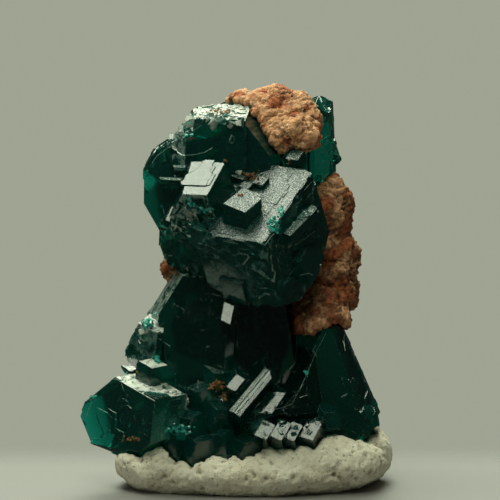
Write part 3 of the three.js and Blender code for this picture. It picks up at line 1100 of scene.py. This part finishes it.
def crystal_material(options):
    """Clear green crystal: glossy faces, etched or frosted where marked, with pale edges that are
    partly wear and partly painted highlight.
    """
    material, bench = new_material("green_crystal")
    etching = bench.attribute("etching")
    mist = bench.clouds(1.2 * MM, detail=3)
    pits = bench.clouds(0.2 * MM, detail=4, rough=0.6)
    specks = bench.clouds(0.13 * MM, detail=2).between(0.42, 0.6)
    waves = bench.clouds(1.1 * MM, detail=3)
    worn = bench.node("ShaderNodeBevel", {"samples": 4}, {"Radius": options.edge})
    # Pale band along the edges: partly wear, partly painted highlight
    edge_wear_and_highlight = bench.turned_from_face(worn).between(0.004, 0.08)
    patches = bench.clouds(0.5 * MM, detail=4, rough=0.65)
    frost = bench.attribute("frost") * patches.between(0.3, 0.55)
    dust = (0.3 - bench.grains(0.28 * MM)).between(0.1, 0.2) * mist.between(0.5, 0.75)
    normal = bench.bump(waves, 0.05 * MM, 0.4, under=worn)
    normal = bench.bump(pits * (0.05 + etching + frost), 0.045 * MM, under=normal)
    green = bench.mix(mist, (0.01, 0.36, 0.3, 1), (0.03, 0.5, 0.41, 1))
    # Faces marked with painted shade are mixed towards near black: painted shade on the crystals
    # under the head
    clear = bench.surface(
        bench.mix(bench.attribute("painted_shade"), green, (0.0, 0.03, 0.026, 1)),
        0.04 + mist * 0.05 + etching * (0.08 + specks * 0.32),
        {"IOR": options.refraction, "Transmission Weight": 0.93, "Normal": normal},
    )
    share = frost.larger(edge_wear_and_highlight * patches.between(0.45, 0.65) * 0.3).larger(dust * 0.2)
    milky = bench.mix(share.between(0.05, 0.4), (0.1, 0.5, 0.43, 1), (0.85, 0.88, 0.8, 1))
    pale = bench.surface(milky, 0.45, {"Normal": normal})
    depth = {"Color": (*options.body, 1), "Density": options.density}
    bench.finish(
        bench.node("ShaderNodeMixShader", {}, {0: share, 1: clear, 2: pale}),
        Volume=bench.node("ShaderNodeVolumeAbsorption", {}, depth),
    )
    return material


def rock_material(options):
    """Rusty rock: tan grains that stand out, tanner towards the top as painted light, dark red
    hollows that are partly painted shade, and pale specks that are partly painted highlights.
    """
    material, bench = new_material("rusty_rock")
    rise = bench.attribute("rise")
    height = bench.node("ShaderNodeSeparateXYZ", {}, {"Vector": bench.place()}, out="Z")
    patches = bench.clouds(1.6 * MM, detail=4)
    fine = bench.clouds(0.2 * MM, detail=4, rough=0.65)
    grain = bench.grains(0.24 * MM)
    # Tan covers more of the rock towards the top: random patches of tan, with painted light making
    # the top paler
    tan_and_painted_top_light = (patches + height.between(19 * MM, 30 * MM) * 0.2 - 0.03).between(0.44, 0.62)
    base = bench.mix(tan_and_painted_top_light, (*options.rust, 1), (*options.tan, 1))
    base = bench.mix((1 - patches).between(0.5, 0.62), base, (*options.orange, 1))
    # Darker red-brown in the hollows: partly the rock's own rust, partly painted shade
    hollows = (1 - rise + (fine - 0.5) * 0.5).between(0.45, 0.85)
    shade = bench.mix(hollows, base, (*options.deep, 1))
    # Pale specks, mostly near the top: partly pale grains, partly painted highlights; they are
    # also less rough
    specks = fine.between(0.55, 0.66) * tan_and_painted_top_light * 0.7
    colour = bench.mix(specks, shade, (0.85, 0.68, 0.48, 1))
    normal = bench.bump(fine + grain * 0.5, 0.16 * MM)
    bench.finish(bench.surface(colour, 0.8 - specks * 0.5, {"Normal": normal}))
    return material


def putty_material(options):
    """Matt putty, darker in its pores, with specks of dirt."""
    material, bench = new_material("pale_putty")
    rise = bench.attribute("rise")
    patches = bench.clouds(2.4 * MM, detail=4)
    fine = bench.clouds(0.22 * MM, detail=4, rough=0.7)
    base = bench.mix(patches.between(0.35, 0.65), (*options.pale, 1), (*options.shade, 1))
    pores = (1 - rise).between(0.42, 0.85)
    colour = bench.mix(pores * 0.75, base, (0.2, 0.17, 0.1, 1))
    dirt = bench.clouds(0.3 * MM, detail=4, rough=0.75).between(0.58, 0.65)
    colour = bench.mix(dirt * 0.7, colour, (0.1, 0.09, 0.06, 1))
    grainy = {"Normal": bench.bump(fine, 0.14 * MM)}
    bench.finish(bench.surface(colour, 0.65 + fine * 0.3, grainy))
    return material


def rim_highlight_material(options):
    """Broken crystal edges, teal and pale in patches, the pale colour a painted highlight."""
    material, bench = new_material("broken_edge_highlight")
    patches = bench.clouds(0.4 * MM, detail=3)
    colour = bench.mix(patches, (0.1, 0.32, 0.27, 1), (*options.rim, 1))
    clear = {"Transmission Weight": 0.35, "IOR": REFRACTION}
    bench.finish(bench.surface(colour, 0.25 + patches * 0.3, clear))
    return material


def rust_material(options):
    """Orange and brown grains of rust."""
    material, bench = new_material("rust_grain")
    patches = bench.clouds(0.5 * MM, detail=3)
    colour = bench.mix(patches.between(0.35, 0.65), (*options.brown, 1), (*options.orange, 1))
    bench.finish(bench.surface(colour, 0.7 + patches * 0.2))
    return material


def turquoise_material(options):
    """Small clear crystals, brighter than the large ones because they are thin."""
    material, bench = new_material("small_turquoise")
    patches = bench.clouds(0.35 * MM, detail=2)
    colour = bench.mix(
        patches.between(0.35, 0.65), (0.01, 0.2, 0.17, 1), (*options.turquoise, 1)
    )
    clear = {"Transmission Weight": 0.4, "IOR": REFRACTION}
    bench.finish(bench.surface(colour, 0.12 + patches * 0.1, clear))
    return material


# Settings
def colour_setting(name, description, default):
    return bpy.props.FloatVectorProperty(
        name=name, description=description, subtype="COLOR", default=default, min=0, max=1
    )


def length_setting(name, description, default):
    return bpy.props.FloatProperty(
        name=name, description=description, unit="LENGTH", default=default, min=0
    )


class CrystalSettings(bpy.types.PropertyGroup):
    body: colour_setting(
        "Body colour", "Colour that a ray keeps on its way through the crystal", (0.0, 0.62, 0.58)
    )
    density: bpy.props.FloatProperty(
        name="Depth of colour",
        description="How fast the crystal darkens with thickness, for each metre",
        default=900,
        min=0,
    )
    refraction: bpy.props.FloatProperty(
        name="Refraction",
        description="Refractive index of the crystal",
        default=REFRACTION,
        min=1,
    )
    # This width also sets the pale band on the edges, partly wear and partly painted highlight
    edge: length_setting("Edge wear", "Width of the worn edges", 0.07 * MM)
    seed: bpy.props.IntProperty(
        name="Seed", description="Chooses where the growth plates stand", default=4
    )


class RockSettings(bpy.types.PropertyGroup):
    # Tan is mixed in more towards the top, where it stands partly for painted light
    tan: colour_setting("Tan", "Colour of the paler rock", (0.7, 0.35, 0.17))
    orange: colour_setting("Orange", "Colour of the orange patches", (0.45, 0.13, 0.045))
    rust: colour_setting("Rust", "Colour of the rustier rock", (0.19, 0.065, 0.025))
    # The hollows' colour is partly the rock's rust and partly painted shade
    deep: colour_setting("Hollows", "Colour of the hollows", (0.09, 0.022, 0.008))
    grain: length_setting("Mesh step", "Size of the rock's mesh", 0.11 * MM)
    swell: length_setting("Swell", "How far the rock closes up on the crystals", 0.24 * MM)


class PuttySettings(bpy.types.PropertyGroup):
    pale: colour_setting("Pale", "Colour of the cleaner putty", (1.0, 0.95, 0.78))
    shade: colour_setting("Shade", "Colour of the dirtier putty", (0.88, 0.8, 0.62))
    grain: length_setting("Mesh step", "Size of the putty's mesh", 0.12 * MM)
    swell: length_setting("Swell", "How far the putty closes up on the crystals", 0.2 * MM)


class GrainSettings(bpy.types.PropertyGroup):
    # The rims' pale colour is a painted highlight.
    rim: colour_setting("Rims", "Colour of the broken rims", (0.5, 0.68, 0.6))
    orange: colour_setting("Orange", "Colour of the brighter rust grains", (0.38, 0.2, 0.07))
    brown: colour_setting("Brown", "Colour of the darker rust grains", (0.12, 0.04, 0.015))
    turquoise: colour_setting("Turquoise", "Colour of the small crystals", (0.1, 0.75, 0.62))
    seed: bpy.props.IntProperty(
        name="Seed", description="Chooses where the grains lie", default=7
    )


class StageSettings(bpy.types.PropertyGroup):
    floor: colour_setting("Floor", "Colour of the table", (0.25, 0.245, 0.24))
    wall: colour_setting("Backdrop", "Colour of the backdrop", (0.35, 0.37, 0.29))
    light: bpy.props.FloatProperty(
        name="Light", description="Brightness of all the softboxes together", default=1.0, min=0
    )
    tint: colour_setting("Tint", "Colour of the softboxes", (0.93, 1.0, 0.8))
    room: bpy.props.FloatProperty(
        name="Room light", description="Strength of the light from the room", default=0.05, min=0
    )


# The pieces
def specimen_shift():
    """How far the tables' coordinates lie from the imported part's, in millimetres."""
    solids = [planes_of(host) for host in (*HEAD_CRYSTALS, *HEAD_BLOCKS)]
    low = np.min([corners_inside(planes).min(0) for planes in solids], axis=0)
    return np.array(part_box("upper_crystals")[0]) / MM - low


def dress(piece, material, slot, *nodes):
    """Gives a piece its material and hides the nodes that it stands for; its slot is not used."""
    piece.data.materials.clear()
    piece.data.materials.append(material)
    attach(piece, "root")
    if nodes:
        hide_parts(*nodes)


class SPECIMEN_OT_crystals(bpy.types.Operator):
    """Add the two crystal clusters with their growth plates"""

    bl_idname = "specimen.crystals"
    bl_label = "Crystal clusters"

    def execute(self, context):
        options = context.scene.specimen_crystals
        rng = np.random.default_rng(options.seed)
        crystals = [*HEAD_CRYSTALS, *LOWER_CRYSTALS]
        for plates in GROWTH_PLATES:
            crystals += growth_plates(*plates, rng)
        blocks = (*HEAD_BLOCKS, *LOWER_BLOCKS, BRIGHT_EDGE)
        solids = [planes_of(host) for host in (*crystals, *blocks)]
        solids += laths(STREAK_CRYSTAL, rng)
        solids += [chunk(place, FROSTED_FINISH, rng) for place in FROSTED_CHUNKS]
        solids += [chunk(place, DARK_FINISH, rng) for place in DARK_CHUNKS]
        for skin in BROKEN_SKIN:
            if skin[0] not in REAR_BLOCKS:
                solids += broken_chips(*skin, rng)
        shift = specimen_shift()
        piece = grown_together("crystal_clusters", solids, shift)
        mark_faces(piece, solids, shift)
        dress(piece, crystal_material(options), "dioptase", "upper_crystals", "lower_crystals")
        return {"FINISHED"}


class SPECIMEN_OT_rear_crystals(bpy.types.Operator):
    """Add the two small crystals behind the rock"""

    bl_idname = "specimen.rear_crystals"
    bl_label = "Rear crystals"

    def execute(self, context):
        options = context.scene.specimen_crystals
        rng = np.random.default_rng(options.seed)
        solids = [planes_of(block) for block in REAR_BLOCKS]
        for skin in BROKEN_SKIN:
            if skin[0] in REAR_BLOCKS:
                solids += broken_chips(*skin, rng)
        shift = specimen_shift()
        piece = grown_together("rear_pair", solids, shift)
        mark_faces(piece, solids, shift)
        dress(piece, crystal_material(options), "dioptase", "rear_crystals")
        return {"FINISHED"}


def rough_copy(name, node, step, swell, bumps):
    """A finely meshed copy of a node, swollen and covered in bumps, with their rise kept."""
    piece = show(bpy.data.objects.new(name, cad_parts[node].data.copy()))
    even = piece.modifiers.new("even", "REMESH")
    even.mode = "VOXEL"
    even.voxel_size = step
    applied(piece)
    mesh = piece.data
    mesh.name = name
    places = np.zeros(len(mesh.vertices) * 3)
    mesh.vertices.foreach_get("co", places)
    places = places.reshape(-1, 3)
    normals = np.zeros(len(places) * 3, np.float32)
    mesh.vertex_normals.foreach_get("vector", normals)
    rise = bumps(places / MM)
    out = normals.reshape(-1, 3) * (swell + rise * MM)[:, None]
    mesh.vertices.foreach_set("co", (places + out).ravel())
    layer = mesh.attributes.new("rise", "FLOAT", "POINT")
    span = rise.max() - rise.min()
    layer.data.foreach_set("value", ((rise - rise.min()) / span).astype(np.float32))
    mesh.polygons.foreach_set("use_smooth", np.ones(len(mesh.polygons), bool))
    mesh.update()
    return piece


def rock_bumps(places):
    """Grains and hollows of the rock, in millimetres."""
    heights = []
    for place in places:
        p = Vector(place)
        lumps = noise.fractal(p / 1.2, 0.6, 2.0, 4)
        cracks = abs(noise.noise(p / 0.42)) + 0.6 * abs(noise.noise(p / 0.23))
        grain = noise.noise(p / 0.3) + 0.8 * noise.noise(p / 0.17)
        heights.append(0.15 * lumps + 0.18 * min(cracks, 0.5) + 0.13 * grain - 0.07)
    return np.array(heights)


def putty_bumps(places):
    """Finger dents, pores and fine grain of the putty, in millimetres."""
    heights = []
    for place in places:
        p = Vector(place)
        dents = noise.fractal(p / 2.2, 0.9, 2.0, 3)
        grain = noise.fractal(p / 0.6, 0.5, 2.0, 4)
        pore = max(0.0, noise.noise(p / 0.45) - 0.3)
        heights.append(0.15 * dents + 0.1 * grain - 0.6 * pore)
    return np.array(heights)


class SPECIMEN_OT_rock(bpy.types.Operator):
    """Add the rusty rock"""

    bl_idname = "specimen.rock"
    bl_label = "Rock"

    def execute(self, context):
        options = context.scene.specimen_rock
        piece = rough_copy("rusty_matrix", "rock", options.grain, options.swell, rock_bumps)
        dress(piece, rock_material(options), "rock", "rock")
        return {"FINISHED"}


class SPECIMEN_OT_putty(bpy.types.Operator):
    """Add the putty"""

    bl_idname = "specimen.putty"
    bl_label = "Putty"

    def execute(self, context):
        options = context.scene.specimen_putty
        piece = rough_copy("putty_pat", "putty", options.grain, options.swell, putty_bumps)
        # its underside stays flat on the table
        for vertex in piece.data.vertices:
            vertex.co.z = max(vertex.co.z, 0.0)
        dress(piece, putty_material(options), "putty", "putty")
        return {"FINISHED"}


# Rims and grains on the surface
# The front view looks down by this much, and its heights are measured from this depth
VIEW_RISE = math.radians(8)
VIEW_FRONT = -8.0
INTO_VIEW = Vector((0, math.cos(VIEW_RISE), -math.sin(VIEW_RISE)))
# A ray starts this many metres before the specimen
RAY_START = 0.05
# A rim's splinters stand this far apart, and none bridges a gap longer than this, in millimetres
RIM_STEP = 0.12
RIM_GAP = 0.35
# How far a grain's middle stands out of the skin, as a share of its size, and how widely grains
# scatter about the middle of their spot
GRAIN_RISE = 0.3
GRAIN_SPREAD = 0.6
# A grain is two rings of points and a tip at each end, about its middle
GRAIN_FORM = [
    *((math.cos(a), math.sin(a), z) for z in (-0.45, 0.5) for a in np.arange(5) * math.tau / 5),
    (0, 0, 1.1),
    (0, 0, -1.0),
]
CRYSTAL_FORM = [
    *((math.cos(a), math.sin(a), z) for z in (-1.2, 0.5) for a in np.arange(6) * math.tau / 6),
    (0, 0, 1.2),
    (0, 0, -1.3),
]


def skin_of(*names):
    """The surface of some pieces, for rays to meet."""
    points, faces = [], []
    for name in names:
        mesh = bpy.data.objects[name].data
        start = len(points)
        points += [vertex.co for vertex in mesh.vertices]
        faces += [[start + k for k in polygon.vertices] for polygon in mesh.polygons]
    return BVHTree.FromPolygons(points, faces)


def seen_point(skin, x, height, shift):
    """Where the skin is met behind a place of the front view: the point, and the way it faces."""
    start = Vector((x, VIEW_FRONT, height / math.cos(VIEW_RISE))) + Vector(shift)
    return skin.ray_cast(start * MM - INTO_VIEW * RAY_START, INTO_VIEW)[:2]


def closed_form(ring):
    """Faces of a form whose points are two rings and then its upper and lower tip."""
    top, bottom = 2 * ring, 2 * ring + 1
    faces = []
    for k in range(ring):
        after = (k + 1) % ring
        faces.append((k, after, ring + after, ring + k))
        faces.append((ring + k, ring + after, top))
        faces.append((after, k, bottom))
    return faces


def scattered(name, skin, spots, form, sizes, rng, shift):
    """One mesh of small grains, sunk in the skin below their middle."""
    form = np.array(form)
    single = closed_form((len(form) - 2) // 2)
    points, faces = [], []
    for x, height, across, up, count in spots:
        for _ in range(count):
            aside, above = rng.normal(0, GRAIN_SPREAD, 2)
            place, normal = seen_point(skin, x + aside * across, height + above * up, shift)
            turn = Quaternion(rng.normal(0, 1, 4)).normalized().to_matrix()
            size = rng.uniform(*sizes) * MM
            rough = form * rng.uniform(0.8, 1.2, form.shape)
            if place is None:
                continue
            start = len(points)
            centre = place + normal * GRAIN_RISE * size
            points += [centre + turn @ Vector(p) * size for p in rough]
            faces += [[start + k for k in face] for face in single]
    return show(make_piece(name, points, faces))


def highlight_rim_mesh(skin, lines, rng, shift):
    """One mesh of thin uneven ridges that follow lines over the skin."""
    points, faces = [], []
    for half, line in lines:
        stations = []
        for (x0, h0), (x1, h1) in zip(line, line[1:]):
            steps = max(2, round(math.hypot(x1 - x0, h1 - h0) / RIM_STEP))
            for t in np.arange(steps) / steps:
                stations.append(seen_point(skin, x0 + t * (x1 - x0), h0 + t * (h1 - h0), shift))
        stations.append(seen_point(skin, *line[-1], shift))
        stations = [s for s in stations if s[0] is not None]
        for (here, way), (after, _) in zip(stations, stations[1:]):
            along = after - here
            if along.length > RIM_GAP * MM or along.length == 0:
                continue
            side = along.cross(way).normalized() * half * MM * rng.uniform(0.3, 1)
            lift = way * half * MM * rng.uniform(0.5, 1.2)
            start = len(points)
            reach = along * rng.uniform(0.6, 0.9)
            middle = here + along * 0.5
            points += [middle - reach, middle + side, middle + reach, middle - side]
            points += [middle + lift, middle - way * half * MM]
            for k in range(4):
                after_k = (k + 1) % 4
                faces.append((start + after_k, start + k, start + 4))
                faces.append((start + k, start + after_k, start + 5))
    return show(make_piece("broken_rims", points, faces))


class SPECIMEN_OT_rims(bpy.types.Operator):
    """Add the rims of broken crystal, painted pale as highlights"""

    bl_idname = "specimen.rims"
    bl_label = "Broken rims"

    def execute(self, context):
        options = context.scene.specimen_grains
        rng = np.random.default_rng(options.seed)
        skin = skin_of("crystal_clusters")
        piece = highlight_rim_mesh(skin, HIGHLIGHT_RIMS, rng, specimen_shift())
        dress(piece, rim_highlight_material(options), "dioptase")
        return {"FINISHED"}


class SPECIMEN_OT_grains(bpy.types.Operator):
    """Add the rust grains and the small turquoise crystals"""

    bl_idname = "specimen.grains"
    bl_label = "Grains and small crystals"

    def execute(self, context):
        options = context.scene.specimen_grains
        rng = np.random.default_rng(options.seed)
        skin = skin_of("crystal_clusters", "rusty_matrix")
        shift = specimen_shift()
        rust = scattered("rust_grains", skin, RUST_GRAINS, GRAIN_FORM, GRAIN_SIZES, rng, shift)
        dress(rust, rust_material(options), "rock")
        small = scattered(
            "small_crystals", skin, SMALL_CRYSTALS, CRYSTAL_FORM, SMALL_CRYSTAL_SIZES, rng, shift
        )
        dress(small, turquoise_material(options), "dioptase")
        return {"FINISHED"}


# Stage
# The camera's distance and the width of its view at the specimen in metres, the width of its
# sensor, the point that it looks at in the tables' millimetres, and how near and far it sees
VIEW_DISTANCE = 0.6
VIEW_WIDTH = 0.04
SENSOR = 36.0
VIEW_CENTRE = (0.0, -2.0, 19.1)
VIEW_CLIP = (0.01, 100)
# The table's corners in metres, and where it fades into the backdrop
TABLE = ((-0.5, -0.3, 0), (0.5, -0.3, 0), (0.5, 0.02, 0), (-0.5, 0.02, 0))
TABLE_FADE = (6 * MM, 18 * MM)

# Softboxes: name, direction from the specimen, distance and size in metres, and brightness
SOFTBOXES = [
    ("overhead_softbox", (-0.2, 0.25, 0.95), 0.2, (0.16, 0.13), 7.5),
    ("back_softbox", (0.06, 0.78, 0.62), 0.35, (0.25, 0.14), 6.0),
    ("front_softbox", (-0.05, -0.5, 0.86), 0.25, (0.13, 0.11), 5.0),
    ("right_softbox", (0.75, -0.6, 0.25), 0.4, (0.3, 0.3), 0.06),
    ("left_card", (-0.5, -0.82, 0.3), 0.3, (0.06, 0.06), 5.0),
]


def area_light(name, place, target, size, power, colour):
    """A softbox that faces its target."""
    data = bpy.data.lights.new(name, "AREA")
    data.shape = "RECTANGLE"
    data.size, data.size_y = size
    data.energy = power
    data.color = colour
    light = show(bpy.data.objects.new(name, data))
    light.location = place
    light.rotation_euler = (target - place).to_track_quat("-Z", "Y").to_euler()


class SPECIMEN_OT_stage(bpy.types.Operator):
    """Add the table, the backdrop, the softboxes and the camera"""

    bl_idname = "specimen.stage"
    bl_label = "Stage"

    def execute(self, context):
        options = context.scene.specimen_stage
        scene = context.scene
        scene.view_settings.view_transform = "Standard"
        shift = specimen_shift()
        centre = Vector((np.array(VIEW_CENTRE) + shift) * MM)

        data = bpy.data.cameras.new("view")
        data.sensor_width = SENSOR
        data.lens = SENSOR * VIEW_DISTANCE / VIEW_WIDTH
        data.clip_start, data.clip_end = VIEW_CLIP
        camera = show(bpy.data.objects.new("view", data))
        camera.location = centre - INTO_VIEW * VIEW_DISTANCE
        camera.rotation_euler = INTO_VIEW.to_track_quat("-Z", "Y").to_euler()
        scene.camera = camera

        floor = show(make_piece("table", TABLE, [(0, 1, 2, 3)]))
        floor.data.materials.append(floor_material(options))
        floor.visible_glossy = False

        for name, toward, distance, size, brightness in SOFTBOXES:
            place = Vector(toward).normalized() * distance + centre
            power = brightness * math.pi * size[0] * size[1] * options.light
            area_light(name, place, centre, size, power, options.tint)
        scene.world = studio_world(options)
        return {"FINISHED"}


def floor_material(options):
    """A pale matt table that fades into the backdrop behind the specimen."""
    material, bench = new_material("pale_table")
    back = bench.node("ShaderNodeSeparateXYZ", {}, {"Vector": bench.place()}, out="Y")
    matt = bench.surface((*options.floor, 1), 0.5)
    clear = bench.node("ShaderNodeBsdfTransparent")
    sockets = {0: back.between(*TABLE_FADE), 1: matt, 2: clear}
    bench.finish(bench.node("ShaderNodeMixShader", {}, sockets))
    return material


def studio_world(options):
    """A pale backdrop behind the specimen, and a dim room that its faces reflect."""
    world = bpy.data.worlds.new("studio")
    world.use_nodes = True
    bench = Bench(world.node_tree, output="ShaderNodeOutputWorld")
    seen = bench.node("ShaderNodeLightPath", out="Is Camera Ray")
    through = bench.node("ShaderNodeLightPath", out="Is Transmission Ray")
    wall = bench.node("ShaderNodeBackground", {}, {"Color": (*options.wall, 1)})
    room = bench.node(
        "ShaderNodeBackground", {}, {"Color": (*options.wall, 1), "Strength": options.room}
    )
    share = seen.larger(through)
    bench.finish(bench.node("ShaderNodeMixShader", {}, {0: share, 1: room, 2: wall}))
    return world


class SPECIMEN_PT_panel(bpy.types.Panel):
    """The specimen's pieces and settings"""

    bl_idname = "SPECIMEN_PT_panel"
    bl_label = "Dioptase specimen"
    bl_space_type = "VIEW_3D"
    bl_region_type = "UI"
    bl_category = "Specimen"

    def draw(self, context):
        for name, operators in PANEL_ROWS:
            box = self.layout.box()
            for operator in operators:
                box.operator(operator)
            settings = getattr(context.scene, name)
            for key in settings.__annotations__:
                box.prop(settings, key)


PANEL_ROWS = [
    ("specimen_crystals", ("specimen.crystals", "specimen.rear_crystals")),
    ("specimen_rock", ("specimen.rock",)),
    ("specimen_putty", ("specimen.putty",)),
    ("specimen_grains", ("specimen.rims", "specimen.grains")),
    ("specimen_stage", ("specimen.stage",)),
]
SETTINGS = {
    "specimen_crystals": CrystalSettings,
    "specimen_rock": RockSettings,
    "specimen_putty": PuttySettings,
    "specimen_grains": GrainSettings,
    "specimen_stage": StageSettings,
}
CLASSES = (
    *SETTINGS.values(),
    SPECIMEN_OT_crystals,
    SPECIMEN_OT_rear_crystals,
    SPECIMEN_OT_rock,
    SPECIMEN_OT_putty,
    SPECIMEN_OT_rims,
    SPECIMEN_OT_grains,
    SPECIMEN_OT_stage,
    SPECIMEN_PT_panel,
)


def register():
    """Adds the settings, the operators and the panel."""
    for made in CLASSES:
        bpy.utils.register_class(made)
    for name, group in SETTINGS.items():
        setattr(bpy.types.Scene, name, bpy.props.PointerProperty(type=group))


def unregister():
    """Takes them away again."""
    for name in SETTINGS:
        delattr(bpy.types.Scene, name)
    for made in reversed(CLASSES):
        bpy.utils.unregister_class(made)


def main():
    """Makes the stage and every piece."""
    register()
    bpy.ops.specimen.stage()
    bpy.ops.specimen.crystals()
    bpy.ops.specimen.rear_crystals()
    bpy.ops.specimen.rock()
    bpy.ops.specimen.putty()
    bpy.ops.specimen.rims()
    bpy.ops.specimen.grains()


if __name__ == "__main__":
    main()
